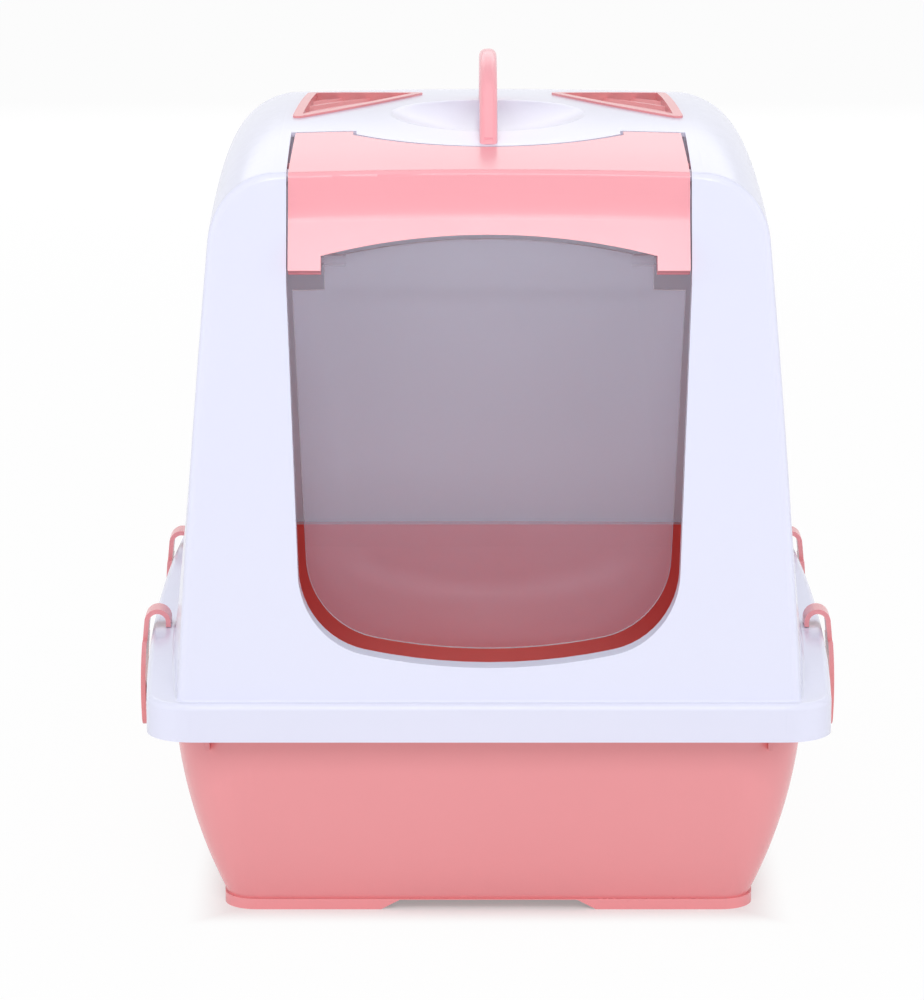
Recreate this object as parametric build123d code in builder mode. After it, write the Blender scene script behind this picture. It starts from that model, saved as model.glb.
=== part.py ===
"""Hooded cat litter box: tray, hood, flip-up flap, swing door, handle, two vents and four latches.

Millimetres. The origin is on the floor under the middle of the rim, +Z is up and the doorway faces -Y.
"""

import os
from math import cos, radians, sin, sqrt, tan

from build123d import *

os.makedirs("parts", exist_ok=True)

# Hood rim, which the rest of the box is placed from: its long sides bow outwards
rim_width = 390
rim_depth = 476
rim_front_taper = 8.5
rim_rear_taper = 7.5
rim_corner = 26
rim_bottom_z = 108
ledge_z = 129
rim_round = 3.5
hood_wall = 2.5

# Hood walls above the ledge: a leaning flat front, sides bowed at the foot, rounded rear corners
ledge_front = 7
ledge_side_front = 17
ledge_side_mid = 13
ledge_side_rear = 12
ledge_rear = 10
draw_side_front = 19.5
draw_side_mid = 33.5
draw_side_rear = 30.5
draw_rear = 19.5
rear_bow = 4
rear_corner = 70
front_lean = 14
front_round = 5
foot_round = 1.5

# Roof: an arch from front to back, crowned from side to side
roof_top_z = 425
roof_apex_y = 6
roof_radius = 1000
crown_radius = 3600
crown_half_angle = 5
shoulder_radius = 38

# Doorway in the front wall, with its inward lip
doorway_half_top = 111
doorway_half_bottom = 103
doorway_shoulder_drop = 75
doorway_bottom_z = 147
doorway_sag = 16
doorway_corner = 45
lip_depth = 10
doorway_setback = 81

# Finger dish under the handle. A setback is measured from the foot of the hood's front wall
dish_setback = 200
dish_rim_radius = 56
dish_depth = 12
dish_round = 4

# Flap over the doorway: ears at the back, a band at the front and a flared lower edge
flap_wall = 2.5
flap_gap = 1
flap_ear_setback = 153
flap_ear_width = 35
flap_hollow_setback = 115
flap_ear_step = 8
flap_crease_setback = 71
flap_taper = 1.5
rear_gap = 1.8
band_height = 20
band_lean = 3.5
flare_height = 22
flare_reach = 11
crease_round = 4
flare_round = 40
flare_overrun = 1.6
arch_side_drop = 59
arch_top_drop = 48
tab_drop = 7.5
flap_side_gap = 3
flap_pivot_setback = 104
flap_pivot_drop = 7
flap_pin_radius = 2.5
flap_pin_length = 7
web_thick = 2.5
web_depth = 10
boss_radius = 5
boss_length = 6
pin_clearance = 0.1
cheek_length = 80
cheek_height = 60
stop_length = 14
stop_reach = 1.4
stop_setback = 81
stop_gap = 0.6

# Door hung between the flap's two tabs
door_thick = 3
door_pivot_drop = 63
door_pivot_setback = 7.5
tab_radius = 8
tab_root = 10
tab_width = 19
door_side_gap = 3
door_shoulder_drop = 16.5
neck_gap = 1.5
door_pin_radius = 2.4
door_pin_length = 6
door_barrel_radius = 3.4
door_barrel_length = 12
door_corner = 48
door_edge_round = 1
arch_gap = 3
sill_clearance = 0.9

# Tray: bowed walls that draw in to a foot ring, with a flange under the hood's ledge
tray_wall = 2.8
tray_inset = 15.5
tray_corner = 45
tray_draw = 28.5
tray_bow = 5.5
wall_straight_z = 112
flange_gap = 1.5
flange_thick = 3
flange_lip = 9.5
foot_height = 6
foot_step = 1.5
foot_arch = 5.5
foot_arch_half_x = 49.5
foot_arch_half_y = 110
foot_ramp = 10.5
floor_thick = 2.8
floor_round = 9
rib_run = 25
rib_thick = 2.5
rib_reach = 6
rib_bottom_z = 98

# Latches, two a side, hinged on lugs of the tray and hooked over the hood's ledge
latch_places_y = (-55, 150)
latch_width = 30
hook_width = 16
hook_neck_z = 122
latch_thick = 2.7
hook_radius = 7.6
hook_inset = 3.2
hook_rise = 3.2
hook_gap = 0.4
latch_bow = 2
latch_toe = 1.4
latch_bottom_z = 72
latch_corner = 6
latch_pivot_inset = 2
latch_pivot_z = 88
latch_barrel_radius = 4
latch_barrel_length = 20
latch_pin_radius = 2
latch_pin_length = 3.8
lug_thick = 3.5
lug_radius = 4.5
lug_gap = 0.4
lug_depth = 3.9

# Handle, an arch from front to back over the dish
handle_front_setback = 125
handle_rear_setback = 271
handle_rise = 36
handle_thick = 10
handle_depth = 13
handle_round = 4
tenon_length = 9
tenon_thick = 5
tenon_depth = 8
tenon_clearance = 0.3
barb_reach = 1
barb_gap = 1.2

# Vents: leaf-shaped louvred inserts beside the dish, their corners placed from its middle
vent_outer_rear_place = (106, 111)
vent_outer_front_place = (112, -9)
vent_front_edge_place = (72, 30)
vent_inner_tip_place = (37, 91)
vent_flange = 3.5
vent_flange_thick = 1.2
vent_cup_depth = 8
vent_wall = 1.6
vent_clearance = 0.3
slat_pitch = 17
slat_overrun = 20
slat_thick = 2
slat_lean = 35
slat_count = 4


def roof_z(y):
    """Height of the roof on the middle line."""
    return roof_top_z - roof_radius + sqrt(roof_radius**2 - (y - roof_apex_y) ** 2)


def roof_side_z(x, y):
    """Height of the roof off the middle line, where the crown has lowered it."""
    return roof_z(y) - crown_radius + sqrt(crown_radius**2 - x**2)


def panel_y(z):
    """Where the hood's leaning front face is at height z."""
    return body_front_y + (z - ledge_z) * tan(radians(front_lean))


rim_half_depth = rim_depth / 2
rim_half_mid = rim_width / 2
rim_half_front = rim_half_mid - rim_front_taper
rim_half_rear = rim_half_mid - rim_rear_taper
with BuildLine() as rim_side:
    ThreePointArc((rim_half_front, -rim_half_depth), (rim_half_mid, 0), (rim_half_rear, rim_half_depth))
rim_side_radius = rim_side.edges()[0].radius
rim_side_center = rim_side.edges()[0].arc_center


def rim_half(y):
    """Half width of the rim at depth y."""
    return rim_side_center.X + sqrt(rim_side_radius**2 - (y - rim_side_center.Y) ** 2)


def rim_outline(inset, corner):
    """Plan of the rim, drawn in by inset all round."""
    end_y = rim_half_depth - inset
    front_half = rim_half(-end_y) - inset
    rear_half = rim_half(end_y) - inset
    mid_half = rim_half_mid - inset
    with BuildSketch() as plan:
        with BuildLine():
            Line((-front_half, -end_y), (front_half, -end_y))
            ThreePointArc((front_half, -end_y), (mid_half, 0), (rear_half, end_y))
            Line((rear_half, end_y), (-rear_half, end_y))
            ThreePointArc((-rear_half, end_y), (-mid_half, 0), (-front_half, -end_y))
        make_face()
        fillet(plan.vertices(), corner)
    return plan.sketch


body_front_y = ledge_front - rim_half_depth
dish_y = body_front_y + dish_setback
flap_ear_y = body_front_y + flap_ear_setback
flap_hollow_y = body_front_y + flap_hollow_setback
flap_crease_y = body_front_y + flap_crease_setback
flap_pivot_y = body_front_y + flap_pivot_setback
stop_y = body_front_y + stop_setback
handle_front_y = body_front_y + handle_front_setback
handle_rear_y = body_front_y + handle_rear_setback
vent_outer_rear = (vent_outer_rear_place[0], dish_y + vent_outer_rear_place[1])
vent_outer_front = (vent_outer_front_place[0], dish_y + vent_outer_front_place[1])
vent_front_edge = (vent_front_edge_place[0], dish_y + vent_front_edge_place[1])
vent_inner_tip = (vent_inner_tip_place[0], dish_y + vent_inner_tip_place[1])
flap_ear_inner = doorway_half_top - flap_ear_width
tab_inner = doorway_half_top - tab_width
front_plane = Plane(
    origin=(0, body_front_y, ledge_z),
    x_dir=(1, 0, 0),
    z_dir=(0, -cos(radians(front_lean)), sin(radians(front_lean))),
)
crown_z = roof_top_z - crown_radius
crown_axis = Axis((0, 0, crown_z), (0, 1, 0))
crown_plane = Plane(
    origin=(0, 0, crown_z),
    x_dir=(0, 1, 0),
    z_dir=(cos(radians(crown_half_angle)), 0, sin(radians(crown_half_angle))),
)
doorway_plane = Plane.XZ.offset(-body_front_y - doorway_setback)
doorway_shoulder_z = roof_top_z - doorway_shoulder_drop
arch_side_z = roof_top_z - arch_side_drop
arch_top_z = roof_top_z - arch_top_drop
door_pivot_z = roof_top_z - door_pivot_drop
handle_top_z = roof_top_z + handle_rise
flap_half = doorway_half_top - flap_gap
flap_pivot_z = roof_side_z(flap_half, flap_pivot_y) - flap_pivot_drop
door_pivot_y = panel_y(door_pivot_z) + door_pivot_setback
dish_radius = (dish_rim_radius**2 + dish_depth**2) / (2 * dish_depth)
dish_center = (0, dish_y, roof_z(dish_y) - dish_depth + dish_radius)
band_end = (flap_crease_y - band_lean, roof_z(flap_crease_y) - band_height)
flare_end = (band_end[0] - flare_overrun * flare_reach, band_end[1] - flare_overrun * flare_height)
tab_bottom_z = arch_side_z - tab_drop
tab_root_z = band_end[1] - tab_root


def flare_y(z):
    """Where the outer face of the flap's flare is at height z."""
    return band_end[0] - (band_end[1] - z) * flare_reach / flare_height


def crowned(y, z):
    """A point of the middle section, in the crown plane's own coordinates."""
    return (y, z - crown_z)


def roof_solid(rise):
    """Everything under the roof, with the roof moved up by rise."""
    with BuildPart() as under:
        with BuildSketch(crown_plane):
            with BuildLine():
                roof = CenterArc(
                    crowned(roof_apex_y, roof_top_z - roof_radius), roof_radius + rise, 70, 40
                )
                Polyline(roof @ 1, crowned(-rim_depth, 0), crowned(rim_depth, 0), roof @ 0)
            make_face()
        revolve(axis=crown_axis, revolution_arc=2 * crown_half_angle)
    return under.part


def body_outline(z, wall):
    """Plan of the hood's walls at height z, drawn in by wall all round."""
    share = (z - ledge_z) / (roof_top_z - ledge_z)
    half_front = rim_half_front - ledge_side_front - share * draw_side_front
    half_mid = rim_half_mid - ledge_side_mid - share * draw_side_mid
    half_rear = rim_half_rear - ledge_side_rear - share * draw_side_rear
    rear_y = rim_half_depth - ledge_rear - share * draw_rear
    with BuildSketch() as plan:
        with BuildLine():
            front_right = (half_front, -rim_half_depth)
            front_left = (-half_front, -rim_half_depth)
            rear_right = (half_rear, rear_y)
            rear_left = (-half_rear, rear_y)
            Line(front_left, front_right)
            ThreePointArc(front_right, (half_mid, 0), rear_right)
            ThreePointArc(rear_right, (0, rear_y + rear_bow), rear_left)
            ThreePointArc(rear_left, (-half_mid, 0), front_left)
        make_face()
        fillet(plan.vertices().group_by(Axis.Y)[-1], rear_corner)
        if wall:
            offset(amount=-wall, kind=Kind.INTERSECTION)
    return plan.sketch


def body_volume(wall, bottom_z):
    """The hood's walls and roof as one solid, drawn in by wall on every face."""
    under_roof = roof_solid(-wall)
    outlines = []
    for z in (bottom_z, roof_top_z + hood_wall):
        outlines.append(Pos(0, 0, z) * body_outline(z, wall))
    with BuildPart() as volume:
        loft(outlines, ruled=True)
        add(under_roof, mode=Mode.INTERSECT)
        roof_face = volume.faces().sort_by(Axis.Z)[-1]
        fillet(roof_face.edges().sort_by(Axis.Y)[1:], shoulder_radius - wall)
        split(bisect_by=front_plane.offset(-wall), keep=Keep.BOTTOM)
        front_face = volume.faces().sort_by(Axis.Y)[0]
        fillet(front_face.edges().sort_by(Axis.Z)[1:], front_round - wall / 2)
    return volume.part


def doorway_outline(margin):
    """The doorway seen from the front, larger by margin."""
    with BuildSketch(doorway_plane) as outline:
        with BuildLine():
            foot_right = (doorway_half_bottom, doorway_bottom_z + doorway_sag)
            foot_left = (-doorway_half_bottom, doorway_bottom_z + doorway_sag)
            ThreePointArc(foot_left, (0, doorway_bottom_z), foot_right)
            Polyline(
                foot_right,
                (doorway_half_top, doorway_shoulder_z),
                (doorway_half_top, roof_top_z),
                (-doorway_half_top, roof_top_z),
                (-doorway_half_top, doorway_shoulder_z),
                foot_left,
            )
        make_face()
        fillet(outline.vertices().group_by(Axis.Y)[0], doorway_corner)
        if margin:
            offset(amount=margin)
    return outline.sketch


def flap_outline(half, taper, gap):
    """Plan of the flap: two ears with a hollow between them, with gap behind it."""
    ear_y = flap_ear_y + gap
    step_y = ear_y - flap_ear_step
    inner = flap_ear_inner - gap
    with BuildSketch() as plan:
        with BuildLine():
            ThreePointArc((inner, step_y), (0, flap_hollow_y + gap), (-inner, step_y))
            Polyline(
                (-inner, step_y),
                (-inner, ear_y),
                (taper - half, ear_y),
                (-half, flap_crease_y),
                (-half, -rim_half_depth),
                (half, -rim_half_depth),
                (half, flap_crease_y),
                (half - taper, ear_y),
                (inner, ear_y),
                (inner, step_y),
            )
        make_face()
    return plan.sketch


def flap_solid(wall):
    """Everything behind the flap's outer face, drawn in by wall."""
    with BuildPart() as under:
        with BuildSketch(crown_plane) as section:
            with BuildLine():
                roof = CenterArc(crowned(roof_apex_y, roof_top_z - roof_radius), roof_radius - wall, 90, 14)
                Polyline(
                    roof @ 1,
                    crowned(-rim_depth, 0),
                    crowned(rim_depth, 0),
                    crowned(rim_depth, roof_top_z - wall),
                    roof @ 0,
                )
            make_face()
            with BuildLine():
                Polyline(
                    crowned(flap_crease_y + wall, roof_top_z),
                    crowned(band_end[0] + wall, band_end[1]),
                    crowned(flare_end[0] + wall, flare_end[1]),
                    crowned(-rim_depth, flare_end[1]),
                    crowned(-rim_depth, roof_top_z),
                    close=True,
                )
            make_face(mode=Mode.SUBTRACT)
            crease = crowned(flap_crease_y + wall, roof_z(flap_crease_y))
            fillet(section.vertices().sort_by_distance(crease)[0], crease_round - wall)
            bend = crowned(band_end[0] + wall, band_end[1])
            fillet(section.vertices().sort_by_distance(bend)[0], flare_round + wall)
        revolve(axis=crown_axis, revolution_arc=2 * crown_half_angle)
    return under.part


def vent_outline(inset):
    """Plan of the right vent, drawn in by inset all round."""
    with BuildSketch() as plan:
        with BuildLine():
            ThreePointArc(vent_inner_tip, vent_front_edge, vent_outer_front)
            Polyline(vent_outer_front, vent_outer_rear, vent_inner_tip)
        make_face()
        fillet(plan.vertices(), vent_flange)
        if inset:
            offset(amount=-inset)
    return plan.sketch


hood_outside = body_volume(0, ledge_z - hood_wall)
hood_inside = body_volume(hood_wall, rim_bottom_z)
roof_outside = roof_solid(0)

doorway = doorway_outline(0)
doorway_frame = doorway_outline(hood_wall)

# Space inside the hood, less the dish that hangs into it
with BuildPart() as hollow:
    add(hood_inside)
    with Locations(dish_center):
        Sphere(dish_radius + hood_wall, rotation=(90, 0, 0), mode=Mode.SUBTRACT)

# Cheek beside the right of the flap, with the hinge boss and the stop that the flap rests on
roof_under_cheek = roof_solid(-hood_wall - lip_depth)
roof_over_stop = roof_solid(-flap_wall - stop_gap)
roof_under_stop = roof_solid(-flap_wall - stop_gap - hood_wall)
with BuildPart() as stop:
    with Locations((flap_half - stop_reach, stop_y, roof_top_z)):
        Box(
            stop_reach + flap_gap + hood_wall / 2,
            stop_length,
            cheek_height,
            align=(Align.MIN, Align.CENTER, Align.MAX),
        )
    add(roof_over_stop, mode=Mode.INTERSECT)
    add(roof_under_stop, mode=Mode.SUBTRACT)
with BuildPart() as cheek:
    with Locations((doorway_half_top, flap_ear_y + rear_gap, roof_top_z)):
        Box(hood_wall, cheek_length, cheek_height, align=(Align.MIN, Align.MAX, Align.MAX))
    add(roof_under_cheek, mode=Mode.SUBTRACT)
    with Locations(Location((doorway_half_top, flap_pivot_y, flap_pivot_z), (0, 90, 0))):
        Cylinder(boss_radius, boss_length, align=(Align.CENTER, Align.CENTER, Align.MIN))
    add(stop.part)
    add(hood_outside, mode=Mode.INTERSECT)
    with Locations(Location((doorway_half_top, flap_pivot_y, flap_pivot_z), (0, 90, 0))):
        Cylinder(flap_pin_radius + pin_clearance, 3 * boss_length, mode=Mode.SUBTRACT)

# Inward lip round the doorway
with BuildPart() as lip:
    extrude(doorway_frame, amount=rim_depth / 4)
    extrude(doorway, amount=rim_depth / 4, mode=Mode.SUBTRACT)
    add(hood_outside, mode=Mode.INTERSECT)
    split(bisect_by=front_plane.offset(-hood_wall - lip_depth), keep=Keep.TOP)

roof_opening = flap_outline(doorway_half_top, 0, rear_gap)
vent_hole = vent_outline(vent_flange)
with BuildPart() as hood:
    with BuildSketch(Plane.XY.offset(rim_bottom_z)):
        add(rim_outline(0, rim_corner))
    extrude(amount=ledge_z - rim_bottom_z)
    fillet(hood.faces().sort_by(Axis.Z)[-1].edges(), rim_round)
    add(hood_outside)
    ledge = hood.faces().filter_by(Axis.Z).group_by(Axis.Z)[-1][0]
    fillet(ledge.inner_wires()[0].edges(), foot_round)
    with Locations(dish_center):
        Sphere(dish_radius, rotation=(90, 0, 0), mode=Mode.SUBTRACT)
    dish = hood.faces().filter_by(GeomType.SPHERE)
    fillet(dish.edges(), dish_round)
    with BuildSketch(Plane.XY.offset(rim_bottom_z)):
        add(rim_outline(hood_wall, rim_corner - hood_wall))
    extrude(amount=ledge_z - hood_wall - rim_bottom_z, mode=Mode.SUBTRACT)
    add(hollow.part, mode=Mode.SUBTRACT)
    extrude(doorway, amount=rim_depth / 2, mode=Mode.SUBTRACT)
    with BuildSketch(Plane.XY.offset(roof_top_z - 60)):
        add(roof_opening)
    extrude(amount=80, mode=Mode.SUBTRACT)
    add(lip.part)
    add(cheek.part)
    with BuildSketch(Plane.XY.offset(roof_top_z - 30)):
        add(vent_hole)
        with Locations((0, handle_front_y), (0, handle_rear_y)):
            Rectangle(tenon_thick + 2 * tenon_clearance, tenon_depth + 2 * tenon_clearance)
    extrude(amount=60, mode=Mode.SUBTRACT)
    split(bisect_by=Plane.YZ, keep=Keep.TOP)
    mirror(about=Plane.YZ)

hood.part.label = "hood"
export_step(hood.part, "parts/hood.step")

# Flap: crowned skin, side webs with hinge pins, and the two tabs that carry the door
flap_plan = flap_outline(flap_half, flap_taper, 0)
flap_outside = flap_solid(0)
flap_inside = flap_solid(flap_wall)
web_x = doorway_half_top - flap_side_gap
web_drop = roof_z(0) - roof_side_z(web_x, 0) + flap_wall / 2
with BuildPart() as flap:
    with BuildSketch(Plane.XY.offset(tab_bottom_z)):
        add(flap_plan)
    extrude(amount=roof_top_z - tab_bottom_z)
    add(flap_outside, mode=Mode.INTERSECT)
    add(flap_inside, mode=Mode.SUBTRACT)
    with BuildSketch(Plane.XZ):
        with BuildLine():
            arch = ThreePointArc((-tab_inner, arch_side_z), (0, arch_top_z), (tab_inner, arch_side_z))
            Polyline(arch @ 1, (tab_inner, ledge_z), (-tab_inner, ledge_z), arch @ 0)
        make_face()
    extrude(amount=rim_depth, mode=Mode.SUBTRACT)

    with BuildSketch(Plane.YZ.offset(web_x)):
        with BuildLine():
            web_rear_y = flap_ear_y - 2
            web_front_y = flap_crease_y + 1
            web_mid_y = (web_rear_y + web_front_y) / 2
            web_top = ThreePointArc(
                (web_rear_y, roof_z(web_rear_y) - web_drop),
                (web_mid_y, roof_z(web_mid_y) - web_drop),
                (web_front_y, roof_z(web_front_y) - web_drop),
            )
            Polyline(
                web_top @ 1,
                (band_end[0] + 1, band_end[1] - web_drop),
                (flare_y(arch_side_z) + flap_wall, arch_side_z),
                (door_pivot_y + tab_radius / 2, door_pivot_z),
                (band_end[0] + web_depth, band_end[1]),
                (flap_crease_y + web_depth, roof_z(web_front_y) - web_drop - web_depth),
                (web_rear_y - web_depth, roof_z(web_rear_y) - web_drop - web_depth),
                web_top @ 0,
            )
        make_face()
    extrude(amount=-web_thick)
    with Locations(Location((web_x, flap_pivot_y, flap_pivot_z), (0, 90, 0))):
        Cylinder(flap_pin_radius, flap_pin_length, align=(Align.CENTER, Align.CENTER, Align.MIN))
    with BuildSketch(Plane.YZ.offset(tab_inner)):
        with Locations((door_pivot_y, door_pivot_z)):
            Circle(tab_radius)
        Polygon(
            (flare_y(tab_bottom_z) + flap_wall / 2, tab_bottom_z),
            (door_pivot_y, door_pivot_z - tab_radius),
            (door_pivot_y + tab_radius, door_pivot_z),
            (flare_y(tab_root_z) + tab_radius, tab_root_z),
            (flare_y(tab_root_z) + flap_wall / 2, tab_root_z),
            align=None,
        )
    extrude(amount=flap_half - tab_inner)
    with Locations(Location((tab_inner, door_pivot_y, door_pivot_z), (0, 90, 0))):
        Cylinder(
            door_pin_radius + pin_clearance,
            door_pin_length + neck_gap,
            align=(Align.CENTER, Align.CENTER, Align.MIN),
            mode=Mode.SUBTRACT,
        )
    split(bisect_by=Plane.YZ, keep=Keep.TOP)
    mirror(about=Plane.YZ)

flap.part.label = "flap"
export_step(flap.part, "parts/flap.step")

# Door: a flat panel with a neck between the flap's tabs and a pin at each end of the neck
neck_half = tab_inner - neck_gap
door_shoulder_z = door_pivot_z - door_shoulder_drop
door_shoulder_half = doorway_half_top - door_side_gap
door_bottom_half = doorway_half_bottom - door_side_gap
sill_y = panel_y(doorway_bottom_z) + (hood_wall + lip_depth) / cos(radians(front_lean))
sill_reach = sqrt((door_pivot_y - sill_y) ** 2 + (door_pivot_z - doorway_bottom_z) ** 2)
door_bottom_z = door_pivot_z - sill_reach + sill_clearance
with BuildPart() as door:
    with BuildSketch(Plane.XZ.offset(-door_pivot_y)) as door_face:
        with BuildLine():
            neck = ThreePointArc(
                (neck_half, arch_side_z - arch_gap),
                (0, arch_top_z - arch_gap),
                (-neck_half, arch_side_z - arch_gap),
            )
            sill = ThreePointArc(
                (-door_bottom_half, door_bottom_z + doorway_sag),
                (0, door_bottom_z),
                (door_bottom_half, door_bottom_z + doorway_sag),
            )
            Polyline(
                neck @ 1,
                (-neck_half, door_shoulder_z),
                (-door_shoulder_half, door_shoulder_z),
                sill @ 0,
            )
            Polyline(
                sill @ 1,
                (door_shoulder_half, door_shoulder_z),
                (neck_half, door_shoulder_z),
                neck @ 0,
            )
        make_face()
        fillet(door_face.vertices().group_by(Axis.Y)[0], door_corner)
    extrude(amount=door_thick / 2, both=True)
    fillet(door.faces().filter_by(Axis.Y).edges(), door_edge_round)
    with Locations(Location((neck_half, door_pivot_y, door_pivot_z), (0, 90, 0))):
        Cylinder(door_barrel_radius, door_barrel_length, align=(Align.CENTER, Align.CENTER, Align.MAX))
        Cylinder(door_pin_radius, door_pin_length, align=(Align.CENTER, Align.CENTER, Align.MIN))
    split(bisect_by=Plane.YZ, keep=Keep.TOP)
    mirror(about=Plane.YZ)

door.part.label = "door"
export_step(door.part, "parts/door.step")

# Tray: one wall section swept round the rim, then the floor, the feet, the ribs and the latch lugs
flange_reach = tray_inset - hood_wall - flange_gap
flange_z = ledge_z - hood_wall
tray_path = rim_outline(tray_inset, tray_corner).face().outer_wire()
tray_corners = tray_path.edges().filter_by(lambda edge: edge.length < 2 * tray_corner)
path_start = tray_path @ 0
path_run = tray_path % 0
section_plane = Plane(origin=path_start, x_dir=path_run.cross(Vector(0, 0, 1)), z_dir=-path_run)
foot_out = foot_step - tray_draw
floor_top = foot_height + floor_thick
floor_edge = tray_corner - 2
with BuildPart() as tray:
    with BuildSketch(section_plane) as section:
        with BuildLine():
            outside = SagittaArc((0, wall_straight_z), (-tray_draw, foot_height), tray_bow)
            inside = SagittaArc((-tray_wall - tray_draw, floor_top), (-tray_wall, wall_straight_z), -tray_bow)
            Polyline(
                outside @ 1,
                (foot_out, foot_height),
                (foot_out, 0),
                (foot_out - tray_wall, 0),
                (foot_out - tray_wall, foot_height),
                (-floor_edge, foot_height),
                (-floor_edge, floor_top),
                inside @ 0,
            )
            Polyline(
                inside @ 1,
                (-tray_wall, flange_z),
                (flange_reach, flange_z),
                (flange_reach, flange_z - flange_lip),
                (flange_reach - tray_wall, flange_z - flange_lip),
                (flange_reach - tray_wall, flange_z - flange_thick),
                (0, flange_z - flange_thick),
                outside @ 0,
            )
        make_face()
        fillet(section.vertices().sort_by_distance((-tray_wall - tray_draw, floor_top))[0], floor_round)
    sweep(path=tray_path)
    with BuildSketch(Plane.XY.offset(foot_height)):
        add(rim_outline(tray_inset + floor_edge - 1, tray_corner - floor_edge + 1))
    extrude(amount=floor_thick)
    with BuildSketch(Plane.XZ):
        Polygon(
            (-foot_arch_half_x - foot_ramp, 0),
            (foot_arch_half_x + foot_ramp, 0),
            (foot_arch_half_x, foot_arch),
            (-foot_arch_half_x, foot_arch),
            align=None,
        )
    extrude(amount=rim_depth, both=True, mode=Mode.SUBTRACT)
    with BuildSketch(Plane.YZ):
        Polygon(
            (-foot_arch_half_y - foot_ramp, 0),
            (foot_arch_half_y + foot_ramp, 0),
            (foot_arch_half_y, foot_arch),
            (-foot_arch_half_y, foot_arch),
            align=None,
        )
    extrude(amount=rim_width, both=True, mode=Mode.SUBTRACT)
    for corner in tray_corners:
        rib_x = corner.arc_center.X + (rib_run if corner.arc_center.X > 0 else -rib_run)
        rib_root = abs(corner.arc_center.Y) + sqrt(tray_corner**2 - rib_run**2) - 0.8 * tray_wall
        rear = corner.arc_center.Y > 0
        with Locations((rib_x, rib_root if rear else -rib_root, rib_bottom_z)):
            Box(
                rib_thick,
                rib_reach,
                flange_z - 1 - rib_bottom_z,
                align=(Align.CENTER, Align.MIN if rear else Align.MAX, Align.MIN),
            )
    lug_y = latch_barrel_length / 2 + lug_gap + lug_thick / 2
    for place_y in latch_places_y:
        pivot_x = rim_half(place_y) - latch_pivot_inset
        lug_root = rim_half(place_y) - tray_inset - lug_depth
        for end_y in (place_y - lug_y, place_y + lug_y):
            with BuildSketch(Plane.XZ.offset(-end_y)):
                for side in (-1, 1):
                    with Locations((side * lug_root, latch_pivot_z)):
                        Rectangle(
                            pivot_x - lug_root,
                            2 * lug_radius,
                            align=(Align.MIN if side > 0 else Align.MAX, Align.CENTER),
                        )
                    with Locations((side * pivot_x, latch_pivot_z)):
                        Circle(lug_radius)
                        Circle(latch_pin_radius + pin_clearance, mode=Mode.SUBTRACT)
            extrude(amount=lug_thick / 2, both=True)

tray.part.label = "tray"
export_step(tray.part, "parts/tray.step")

# Latch: a hook over the ledge, a bowed plate and a hinge barrel with its pins, drawn from the rim's edge
hook_z = ledge_z + hook_rise
hook_inner = hook_radius - latch_thick
plate_x = hook_radius - hook_inset
toe_x = plate_x + latch_toe
with BuildPart() as latch:
    with BuildSketch(Plane.XZ):
        with BuildLine():
            tip_z = ledge_z + hook_gap
            middle_z = (hook_z + latch_bottom_z) / 2
            over = ThreePointArc(
                (-hook_inset - hook_radius, hook_z),
                (-hook_inset, hook_z + hook_radius),
                (plate_x, hook_z),
            )
            front = ThreePointArc(over @ 1, (plate_x + latch_bow, middle_z), (toe_x, latch_bottom_z))
            back = ThreePointArc(
                (toe_x - latch_thick, latch_bottom_z),
                (plate_x + latch_bow - latch_thick, middle_z),
                (plate_x - latch_thick, hook_z),
            )
            under = ThreePointArc(
                back @ 1,
                (-hook_inset, hook_z + hook_inner),
                (-hook_inset - hook_inner, hook_z),
            )
            Line(front @ 1, back @ 0)
            Polyline(
                under @ 1,
                (-hook_inset - hook_inner, tip_z),
                (-hook_inset - hook_radius, tip_z),
                over @ 0,
            )
        make_face()
    extrude(amount=latch_width / 2, both=True)
    with BuildSketch(Plane.YZ):
        with Locations((0, hook_neck_z)):
            Rectangle(2 * latch_width, ledge_z, align=(Align.CENTER, Align.MIN))
            Rectangle(hook_width, ledge_z, align=(Align.CENTER, Align.MIN), mode=Mode.SUBTRACT)
    extrude(amount=rim_width, both=True, mode=Mode.SUBTRACT)
    fillet(latch.edges().filter_by(Axis.X).group_by(Axis.Z)[0], latch_corner)
    with Locations((-latch_pivot_inset, 0, latch_pivot_z)):
        Box(
            plate_x + latch_pivot_inset,
            latch_barrel_length,
            1.2 * latch_barrel_radius,
            align=(Align.MIN, Align.CENTER, Align.CENTER),
        )
    with Locations(Location((-latch_pivot_inset, 0, latch_pivot_z), (90, 0, 0))):
        Cylinder(latch_barrel_radius, latch_barrel_length)
        Cylinder(latch_pin_radius, latch_barrel_length + 2 * latch_pin_length)

latch_front_right = Pos(rim_half(latch_places_y[0]), latch_places_y[0], 0) * latch.part
latch_rear_right = Pos(rim_half(latch_places_y[1]), latch_places_y[1], 0) * latch.part
latch_front_left = mirror(latch_front_right, about=Plane.YZ)
latch_rear_left = mirror(latch_rear_right, about=Plane.YZ)
latch_front_right.label = "latch_front_right"
latch_front_left.label = "latch_front_left"
latch_rear_right.label = "latch_rear_right"
latch_rear_left.label = "latch_rear_left"
export_step(latch_front_right, "parts/latch_front_right.step")
export_step(latch_front_left, "parts/latch_front_left.step")
export_step(latch_rear_right, "parts/latch_rear_right.step")
export_step(latch_rear_left, "parts/latch_rear_left.step")

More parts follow.
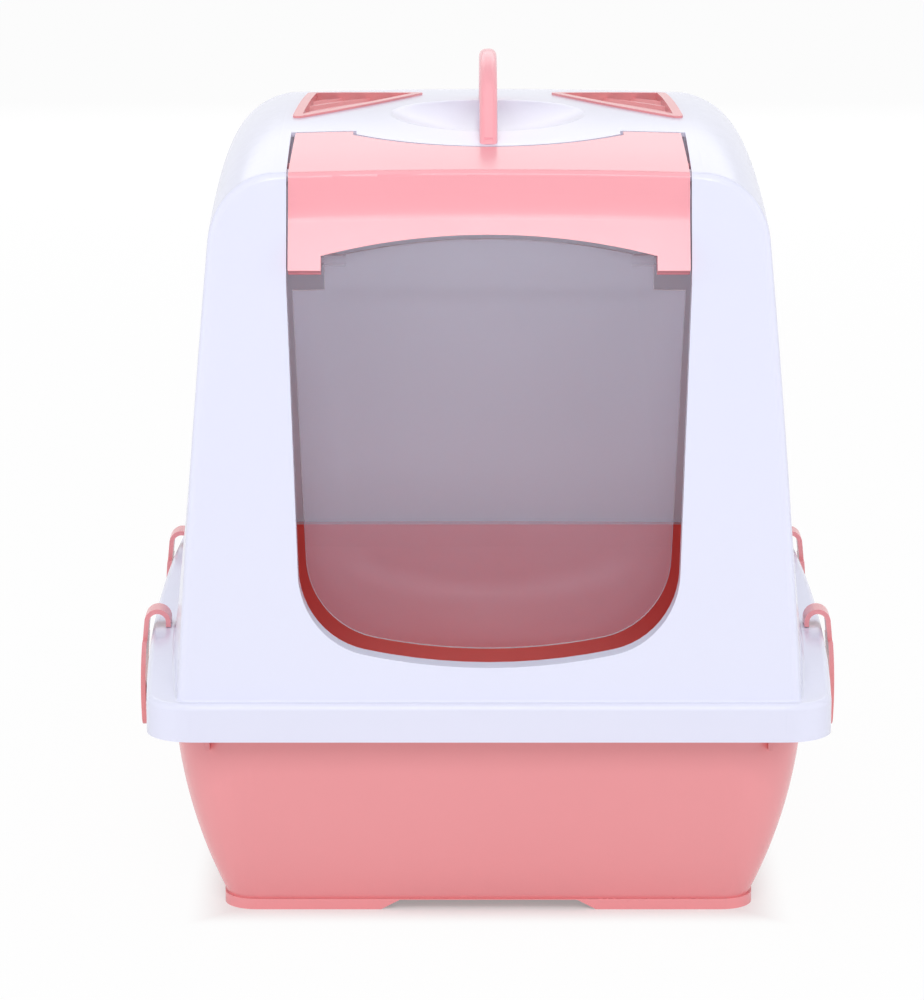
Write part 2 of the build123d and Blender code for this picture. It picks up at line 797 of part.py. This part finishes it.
# Handle: a swept arch cut to the roof's surface, with a barbed tenon at each foot
handle_mid_y = (handle_front_y + handle_rear_y) / 2
with BuildPart() as handle:
    with BuildLine(Plane.YZ) as handle_line:
        ThreePointArc(
            (handle_front_y, roof_z(handle_front_y) - 4),
            (handle_mid_y, handle_top_z - handle_depth / 2),
            (handle_rear_y, roof_z(handle_rear_y) - 4),
        )
    with BuildSketch(Plane(origin=handle_line.line @ 0, x_dir=(1, 0, 0), z_dir=handle_line.line % 0)):
        RectangleRounded(handle_thick, handle_depth, handle_round)
    sweep()
    add(roof_outside, mode=Mode.SUBTRACT)
    with BuildSketch(Plane.YZ):
        for foot_y in (handle_front_y, handle_rear_y):
            seat_z = roof_z(foot_y)
            barb_z = seat_z - hood_wall - barb_gap
            with BuildLine():
                Polyline(
                    (foot_y - tenon_depth / 2, seat_z + 3),
                    (foot_y - tenon_depth / 2, barb_z),
                    (foot_y - tenon_depth / 2 - barb_reach, barb_z),
                    (foot_y - tenon_depth / 2 + 1, seat_z - tenon_length),
                    (foot_y + tenon_depth / 2 - 1, seat_z - tenon_length),
                    (foot_y + tenon_depth / 2 + barb_reach, barb_z),
                    (foot_y + tenon_depth / 2, barb_z),
                    (foot_y + tenon_depth / 2, seat_z + 3),
                    close=True,
                )
            make_face()
    extrude(amount=tenon_thick / 2, both=True)

handle.part.label = "handle"
export_step(handle.part, "parts/handle.step")

# Right vent: a flange on the roof, a cup in the roof's hole and slats that lean across the cup
cup_z = roof_side_z(*vent_outer_front) - vent_cup_depth
vent_rim = vent_outline(0)
vent_cup = vent_outline(vent_flange + vent_clearance)
vent_grip = vent_outline(vent_flange + vent_clearance + vent_wall / 2)
vent_bore = vent_outline(vent_flange + vent_clearance + vent_wall)
roof_over_vent = roof_solid(vent_flange_thick)
roof_over_slats = roof_solid(-slat_thick)
with BuildPart() as flange:
    with BuildSketch(Plane.XY.offset(cup_z)):
        add(vent_rim)
    extrude(amount=3 * vent_cup_depth)
    add(roof_outside, mode=Mode.SUBTRACT)
with BuildPart() as slats:
    with BuildSketch(Plane.XY.offset(cup_z)):
        for count in range(1, slat_count + 1):
            step = count * slat_pitch * cos(radians(45))
            with BuildLine() as slat:
                ThreePointArc(
                    (vent_inner_tip[0] + step - slat_overrun, vent_inner_tip[1] + step + slat_overrun),
                    (vent_front_edge[0] + step, vent_front_edge[1] + step),
                    (vent_outer_front[0] + step + slat_overrun, vent_outer_front[1] + step - slat_overrun),
                )
            trace(slat.line, line_width=slat_thick)
    slat_slope = tan(radians(slat_lean)) * cos(radians(45))
    extrude(amount=2 * vent_cup_depth, dir=(slat_slope, slat_slope, 1))
    with BuildSketch(Plane.XY.offset(cup_z)):
        add(vent_grip)
    extrude(amount=3 * vent_cup_depth, mode=Mode.INTERSECT)
    add(roof_over_slats, mode=Mode.INTERSECT)
with BuildPart() as vent_right:
    with BuildSketch(Plane.XY.offset(cup_z)):
        add(vent_cup)
    extrude(amount=3 * vent_cup_depth)
    add(flange.part)
    add(roof_over_vent, mode=Mode.INTERSECT)
    with BuildSketch(Plane.XY.offset(cup_z)):
        add(vent_bore)
    extrude(amount=3 * vent_cup_depth, mode=Mode.SUBTRACT)
    add(slats.part)

vent_left = mirror(vent_right.part, about=Plane.YZ)
vent_right.part.label = "vent_right"
vent_left.label = "vent_left"
export_step(vent_right.part, "parts/vent_right.step")
export_step(vent_left, "parts/vent_left.step")
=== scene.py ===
"""Looks of the hooded cat litter box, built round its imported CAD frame."""

import math
import bpy
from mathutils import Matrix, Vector


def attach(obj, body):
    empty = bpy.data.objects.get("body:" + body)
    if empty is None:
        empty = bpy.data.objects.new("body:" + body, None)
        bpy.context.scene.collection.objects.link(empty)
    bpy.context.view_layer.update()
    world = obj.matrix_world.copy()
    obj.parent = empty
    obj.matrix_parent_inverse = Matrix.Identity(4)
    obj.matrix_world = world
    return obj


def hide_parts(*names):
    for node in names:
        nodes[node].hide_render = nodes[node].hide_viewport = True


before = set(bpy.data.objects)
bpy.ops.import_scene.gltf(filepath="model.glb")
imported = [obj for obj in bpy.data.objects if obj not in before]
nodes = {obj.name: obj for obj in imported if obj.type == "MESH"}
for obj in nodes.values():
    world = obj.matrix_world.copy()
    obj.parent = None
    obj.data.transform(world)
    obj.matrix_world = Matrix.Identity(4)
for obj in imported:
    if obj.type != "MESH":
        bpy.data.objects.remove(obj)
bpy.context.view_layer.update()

# Camera, fitted to the photograph
LENS = 172.8
SENSOR = 36
VIEW_RANGE = 50
AIM = Vector((-0.0148, 0.0, 0.1909))
PITCH = math.radians(12.43)
DISTANCE = 2.83

# Colours of the mouldings, as linear light
TRAY_PINK = (0.84, 0.325, 0.345)
TRAY_PINK_DEEP = (0.82, 0.305, 0.325)
# The flap and handle pink is bluer than the tray's, a tone of its own, and lighter, painted light
# for the light that falls on the top of the hood
FLAP_PINK_TONE_AND_LIGHT = (0.92, 0.385, 0.44)
FLAP_PINK_DEEP_TONE_AND_LIGHT = (0.90, 0.365, 0.42)
WHITE = (0.76, 0.772, 0.92)
WHITE_COOL = (0.745, 0.758, 0.912)
# Deep red painted on the tray's inward faces: painted shade and painted bounce light between the
# pink walls
TRAY_INSIDE_PAINTED_SHADE = (0.94, 0.13, 0.12)
SMOKE = (0.80, 0.78, 0.97)
SMOKE_EDGE = (0.78, 0.76, 0.80)
FLOOR_GREY = (0.86, 0.86, 0.86)
PURE_WHITE = (1, 1, 1)

# Moulded plastic: noise scales, roughness, and heights in metres
MOTTLE_SCALE = 7
SMEAR_SCALE = 38
PEEL_SCALE = 230
GRAIN_SCALE = 1500
TRAY_ROUGHNESS = 0.2
HOOD_ROUGHNESS = 0.18
SMEAR_ROUGHNESS = 0.05
SCUFF_ROUGHNESS = 0.25
SCUFF_TINT = 0.6
SCUFF_FULL = 0.001
SCUFF_END = 0.012
# Reach of the painted shade on faces turned in towards the middle
INWARD_FULL = -0.06
INWARD_END = -0.02
PEEL_RELIEF = 0.5
GRAIN_RELIEF = 0.1
SEAM_RELIEF = 0.6
SEAM_FULL = 0.0001
SEAM_END = 0.0004
PLASTIC_BUMP = 0.08
PLASTIC_RELIEF = 0.0006
PLASTIC_IOR = 1.49

# The door's sheet: noise scales, see-through share and roughness
DOOR_SMEAR_SCALE = 22
DOOR_HAZE_SCALE = 7
DOOR_RIPPLE_SCALE = 35
DOOR_ALPHA = 0.10
DOOR_HAZE_ALPHA = 0.03
DOOR_SMEAR_ALPHA = 0.02
DOOR_EDGE_ALPHA = 0.6
DOOR_EDGE_START = 0.15
DOOR_EDGE_FULL = 0.9
DOOR_ROUGHNESS = 0.12
DOOR_SMEAR_ROUGHNESS = 0.06
DOOR_BUMP = 0.02
DOOR_RELIEF = 0.0005
DOOR_IOR = 1.5

# Shallow dish pressed into the door, in metres
DISH_HALF = 0.081
DISH_SPREAD = 0.017
DISH_SPREAD_LOW = 0.25
DISH_SPREAD_HIGH = 0.345
DISH_BOTTOM = 0.168
DISH_SAG = 2.6
DISH_TOP = 0.349
DISH_SLOPE = 0.012
DISH_DEPTH = 0.0045
DISH_BLEND = 0.02
DISH_GRID = 0.003
MERGE_DISTANCE = 1e-6
CREASE_ANGLE = math.radians(30)

# Floor and light levels
WORLD_LIGHT = 0.32
FLOOR_SIZE = 9.0
FLOOR_ROUGHNESS = 0.9
FLOOR_GLOW = 0.96
# The painted shadow round the foot: its box, its reach and the glow left in it
FOOT_HALF_WIDTH = 0.135
FOOT_HALF_DEPTH = 0.19
SHADOW_REACH = 0.035
SHADOW_GLOW = 0.3

scene = bpy.context.scene


class Field:
    """A value in a node tree. Arithmetic on it adds Math nodes."""

    def __init__(self, tree, socket=None):
        self.tree = tree
        self.socket = socket

    def node(self, kind, settings=None, sockets=None, output=0):
        """Add a node: its settings first, then its sockets' values or links."""
        added = self.tree.nodes.new(kind)
        for name, setting in (settings or {}).items():
            setattr(added, name, setting)
        for name, given in (sockets or {}).items():
            if isinstance(given, Field):
                self.tree.links.new(given.socket, added.inputs[name])
            else:
                added.inputs[name].default_value = given
        return Field(self.tree, added.outputs[output])

    def math(self, operation, *terms):
        """One Math node on this value and the terms."""
        given = dict(enumerate((self, *terms)))
        return self.node("ShaderNodeMath", {"operation": operation}, given)

    def reversed_math(self, operation, first):
        """One Math node with this value as its second term."""
        return self.node("ShaderNodeMath", {"operation": operation}, {0: first, 1: self})

    def __add__(self, other):
        return self.math("ADD", other)

    def __radd__(self, other):
        return self.math("ADD", other)

    def __sub__(self, other):
        return self.math("SUBTRACT", other)

    def __rsub__(self, other):
        return self.reversed_math("SUBTRACT", other)

    def __mul__(self, other):
        return self.math("MULTIPLY", other)

    def __rmul__(self, other):
        return self.math("MULTIPLY", other)

    def __abs__(self):
        return self.math("ABSOLUTE")

    def ramp(self, low, high):
        """0 below low and 1 above high, smoothed between."""
        return self.node(
            "ShaderNodeMapRange",
            {"interpolation_type": "SMOOTHSTEP"},
            {"Value": self, "From Min": low, "From Max": high},
        )

    def noise(self, scale, detail, roughness=0.5):
        """Noise between about 0.3 and 0.7, on this vector."""
        return self.node(
            "ShaderNodeTexNoise",
            None,
            {"Vector": self, "Scale": scale, "Detail": detail, "Roughness": roughness},
        )

    def part(self, axis):
        """One coordinate of this vector."""
        return self.node("ShaderNodeSeparateXYZ", None, {0: self}, axis)

    def blend(self, first, second):
        """Colour between first and second by this value."""
        return self.node(
            "ShaderNodeMix",
            {"data_type": "RGBA"},
            {0: self, 6: first, 7: second},
            2,
        )

    def coordinates(self, kind):
        """The Object place or the Normal of the point being shaded."""
        return self.node("ShaderNodeTexCoord", None, None, kind)

    def bump(self, strength, distance, height):
        """A normal bent by a height."""
        return self.node(
            "ShaderNodeBump",
            None,
            {"Strength": strength, "Distance": distance, "Height": height},
        )

    def seen_directly(self):
        """1 for camera, mirror and see-through rays, and 0 for light that only bounces."""
        camera, glossy, through = (
            self.node("ShaderNodeLightPath", None, None, kind)
            for kind in ("Is Camera Ray", "Is Glossy Ray", "Is Transmission Ray")
        )
        return camera.math("MAXIMUM", glossy).math("MAXIMUM", through)


def rgba(colour):
    """A colour with full alpha."""
    return (*colour, 1.0)


def new_material(name):
    """An empty node material: its start of fields and its Principled node."""
    material = bpy.data.materials.new(name)
    material.use_nodes = True
    shader = material.node_tree.nodes["Principled BSDF"]
    return material, Field(material.node_tree), shader


def feed(shader, name, field):
    """Link a field to one socket of a shader."""
    shader.id_data.links.new(field.socket, shader.inputs[name])


def moulded_plastic(name, colour, deep, gloss, seam_axis=None, painted_inside_shade=None):
    """Glossy moulded plastic: faint mottling, orange peel, scuffs at the foot, and a deeper red on
    faces turned in towards the middle, painted shade and painted bounce light.
    """
    material, start, shader = new_material(name)
    place = start.coordinates("Object")
    mottle = place.noise(MOTTLE_SCALE, 2)
    smears = place.noise(SMEAR_SCALE, 3, 0.6)
    peel = place.noise(PEEL_SCALE, 2)
    grain = place.noise(GRAIN_SCALE, 2)
    foot = 1 - place.part(2).ramp(SCUFF_FULL, SCUFF_END)
    scuff = foot * smears

    shade = (mottle + SCUFF_TINT * scuff).blend(rgba(colour), rgba(deep))
    # Painted shade: faces turned in towards the middle take a deep red that stands in for shade
    # and pink bounce light.
    if painted_inside_shade is not None:
        facing = start.coordinates("Normal")
        outward = place.part(0) * facing.part(0) + place.part(1) * facing.part(1)
        shade = outward.ramp(INWARD_FULL, INWARD_END).blend(rgba(painted_inside_shade), shade)
    feed(shader, "Base Color", shade)
    feed(shader, "Roughness", gloss + SMEAR_ROUGHNESS * smears + SCUFF_ROUGHNESS * scuff)
    relief = PEEL_RELIEF * peel + GRAIN_RELIEF * grain
    if seam_axis is not None:
        seam = 1 - abs(place.part(seam_axis)).ramp(SEAM_FULL, SEAM_END)
        relief = relief + SEAM_RELIEF * seam
    feed(shader, "Normal", start.bump(PLASTIC_BUMP, PLASTIC_RELIEF, relief))
    shader.inputs["IOR"].default_value = PLASTIC_IOR
    return material


def smoky_sheet(name):
    """Hazy tinted sheet: see-through faces, light edges and faint smears."""
    material, start, shader = new_material(name)
    place = start.coordinates("Object")
    facing = start.coordinates("Normal")
    edge = (1 - abs(facing.part(1))).ramp(DOOR_EDGE_START, DOOR_EDGE_FULL)
    smears = place.noise(DOOR_SMEAR_SCALE, 4, 0.6)
    haze = place.noise(DOOR_HAZE_SCALE, 3)
    veil = DOOR_ALPHA + DOOR_HAZE_ALPHA * haze + DOOR_SMEAR_ALPHA * smears

    feed(shader, "Base Color", edge.blend(rgba(SMOKE), rgba(SMOKE_EDGE)))
    feed(shader, "Alpha", veil + DOOR_EDGE_ALPHA * edge)
    feed(shader, "Roughness", DOOR_ROUGHNESS + DOOR_SMEAR_ROUGHNESS * smears)
    ripple = place.noise(DOOR_RIPPLE_SCALE, 1)
    feed(shader, "Normal", start.bump(DOOR_BUMP, DOOR_RELIEF, ripple))
    shader.inputs["IOR"].default_value = DOOR_IOR
    return material


def dress(names, material):
    """Give CAD nodes a material in every slot."""
    for name in names:
        for slot in nodes[name].material_slots:
            slot.material = material


def smoothstep(reach):
    """0 to 1 as reach goes from 0 to 1, with soft ends."""
    reach = min(max(reach, 0.0), 1.0)
    return reach * reach * (3 - 2 * reach)


def dish_share(across, height):
    """Share of the dish's depth at a place on the door: 0 round the dish, 1 on its floor."""
    spread = smoothstep((height - DISH_SPREAD_LOW) / (DISH_SPREAD_HIGH - DISH_SPREAD_LOW))
    side = DISH_HALF + DISH_SPREAD * spread - abs(across)
    sill = height - DISH_BOTTOM - DISH_SAG * across * across
    near = max(DISH_BLEND - abs(side - sill), 0.0) / DISH_BLEND
    rounded = min(side, sill) - near**3 * DISH_BLEND / 6
    return smoothstep(min(rounded, DISH_TOP - height) / DISH_SLOPE)


def cut_across(normal, first, last):
    """Cut the mesh being edited by planes a grid step apart, so that it can bend."""
    for step in range(int((last - first) / DISH_GRID) + 1):
        bpy.ops.mesh.select_all(action="SELECT")
        bpy.ops.mesh.bisect(plane_co=(first + step * DISH_GRID) * normal, plane_no=normal)


def dished_door():
    """The door with the shallow dish that the photograph shows and the flat CAD door lacks."""
    door = bpy.data.objects.new("door_sheet", nodes["door"].data.copy())
    scene.collection.objects.link(door)
    bpy.ops.object.select_all(action="DESELECT")
    door.select_set(True)
    bpy.context.view_layer.objects.active = door
    bpy.ops.mesh.customdata_custom_splitnormals_clear()
    bpy.ops.object.mode_set(mode="EDIT")
    bpy.ops.mesh.select_all(action="SELECT")
    bpy.ops.mesh.remove_doubles(threshold=MERGE_DISTANCE)
    reach = DISH_HALF + DISH_SPREAD
    cut_across(Vector((1, 0, 0)), -reach, reach)
    cut_across(Vector((0, 0, 1)), DISH_BOTTOM, DISH_TOP)
    bpy.ops.object.mode_set(mode="OBJECT")
    for corner in door.data.vertices:
        corner.co.y += DISH_DEPTH * dish_share(corner.co.x, corner.co.z)
    bpy.ops.object.shade_smooth_by_angle(angle=CREASE_ANGLE)
    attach(door, "door")
    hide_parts("door")


def studio_floor():
    """Pale floor that shows white to the eye, with a soft painted shadow round the object's foot:
    its glow is taken away there by place, which lets the real cast shadow show too.
    """
    bpy.ops.object.select_all(action="DESELECT")
    bpy.ops.mesh.primitive_plane_add(size=FLOOR_SIZE, location=(0, 0, 0))
    floor = bpy.context.object
    floor.name = "studio_floor"
    material, start, shader = new_material("floor_white")
    shader.inputs["Base Color"].default_value = rgba(FLOOR_GREY)
    shader.inputs["Roughness"].default_value = FLOOR_ROUGHNESS
    shader.inputs["Specular IOR Level"].default_value = 0.0
    place = start.coordinates("Object")
    # Painted shadow: near the foot the floor keeps less of its white glow, by place alone.
    beside = abs(place.part(0)) - FOOT_HALF_WIDTH
    before = abs(place.part(1)) - FOOT_HALF_DEPTH
    clear = beside.math("MAXIMUM", before).ramp(0, SHADOW_REACH)
    painted_shadow_glow_share = SHADOW_GLOW + (1 - SHADOW_GLOW) * clear
    glow = start.node(
        "ShaderNodeEmission", None, {"Color": rgba(PURE_WHITE), "Strength": 1.0}
    )
    mix = start.node(
        "ShaderNodeMixShader",
        None,
        {
            0: FLOOR_GLOW * start.seen_directly() * painted_shadow_glow_share,
            1: Field(material.node_tree, shader.outputs[0]),
            2: glow,
        },
    )
    output = material.node_tree.nodes["Material Output"]
    material.node_tree.links.new(mix.socket, output.inputs["Surface"])
    floor.data.materials.append(material)


def studio_world():
    """Even light from all round, and plain white behind the object."""
    world = bpy.data.worlds.new("studio")
    scene.world = world
    world.use_nodes = True
    strength = WORLD_LIGHT + (1 - WORLD_LIGHT) * Field(world.node_tree).seen_directly()
    background = world.node_tree.nodes["Background"]
    background.inputs["Color"].default_value = rgba(PURE_WHITE)
    feed(background, "Strength", strength)


def softbox(name, place, target, width, height, power, mirrored=True, tint=PURE_WHITE):
    """A rectangular lamp aimed at a point. One that isn't mirrored makes no highlights."""
    lamp = bpy.data.lights.new(name, "AREA")
    lamp.shape = "RECTANGLE"
    lamp.size = width
    lamp.size_y = height
    lamp.energy = power
    lamp.color = tint
    holder = bpy.data.objects.new(name, lamp)
    holder.location = place
    direction = Vector(target) - Vector(place)
    holder.rotation_euler = direction.to_track_quat("-Z", "Y").to_euler()
    holder.visible_glossy = mirrored
    scene.collection.objects.link(holder)


def studio_lamps():
    """Soft lamps all round, and one in the cabin."""
    softbox(
        "front_box", (0, -3.6, 2.5), (0, 0, 0.2),
        width=2.6, height=1.2, power=32, mirrored=False,
    )
    softbox(
        "low_strip", (0, -3.2, 0.2), (0, 0, 0.2),
        width=2.0, height=0.3, power=18, mirrored=False,
    )
    softbox(
        "brim_strip", (0, -1.95, 1.95), (0, -0.17, 0.38),
        width=0.9, height=0.3, power=8,
    )
    softbox(
        "top_box", (0, -0.3, 2.3), (0, 0, 0.3),
        width=2.2, height=2.2, power=12.5,
    )
    softbox(
        "back_box", (0, 2.4, 1.8), (0, 0, 0.4),
        width=2.2, height=1.4, power=8,
    )
    softbox(
        "rear_box", (0, 3.0, 0.8), (0, 0, 0.2),
        width=2.0, height=1.2, power=22, mirrored=False,
    )
    softbox(
        "left_box", (-2.6, -0.3, 1.0), (0, 0, 0.25),
        width=1.4, height=1.6, power=20, mirrored=False,
    )
    softbox(
        "right_box", (2.6, -0.3, 1.0), (0, 0, 0.25),
        width=1.4, height=1.6, power=19, mirrored=False,
    )
    # The thin white hood lets light through: this lamp stands in for it in the cabin
    softbox(
        "cabin_glow", (0, -0.12, 0.34), (0, 0.2, 0.05),
        width=0.24, height=0.06, power=0.14, tint=(0.74, 1.0, 0.8),
    )


def photo_camera():
    """The camera at the photograph's place."""
    lens = bpy.data.cameras.new("photo_camera")
    lens.lens = LENS
    lens.sensor_width = SENSOR
    lens.sensor_fit = "AUTO"
    lens.clip_end = VIEW_RANGE
    camera = bpy.data.objects.new("photo_camera", lens)
    camera.location = AIM + DISTANCE * Vector((0, -math.cos(PITCH), math.sin(PITCH)))
    camera.rotation_euler = (math.pi / 2 - PITCH, 0, 0)
    scene.collection.objects.link(camera)
    scene.camera = camera


latches = [name for name in nodes if name.startswith("latch_")]
tray_pink = moulded_plastic(
    "tray_pink", TRAY_PINK, TRAY_PINK_DEEP, TRAY_ROUGHNESS, painted_inside_shade=TRAY_INSIDE_PAINTED_SHADE
)
flap_pink = moulded_plastic("flap_pink", FLAP_PINK_TONE_AND_LIGHT, FLAP_PINK_DEEP_TONE_AND_LIGHT, HOOD_ROUGHNESS)
handle_pink = moulded_plastic(
    "handle_pink", FLAP_PINK_TONE_AND_LIGHT, FLAP_PINK_DEEP_TONE_AND_LIGHT, HOOD_ROUGHNESS, seam_axis=0
)
clip_pink = moulded_plastic("clip_pink", TRAY_PINK, TRAY_PINK_DEEP, TRAY_ROUGHNESS)
hood_white = moulded_plastic("hood_white", WHITE, WHITE_COOL, HOOD_ROUGHNESS)
dress(["tray"], tray_pink)
dress(["flap"], flap_pink)
dress(["handle"], handle_pink)
dress(["vent_left", "vent_right", *latches], clip_pink)
dress(["hood"], hood_white)
dress(["door"], smoky_sheet("door_smoke"))
dished_door()

studio_floor()
studio_world()
studio_lamps()
photo_camera()
scene.view_settings.view_transform = "Standard"
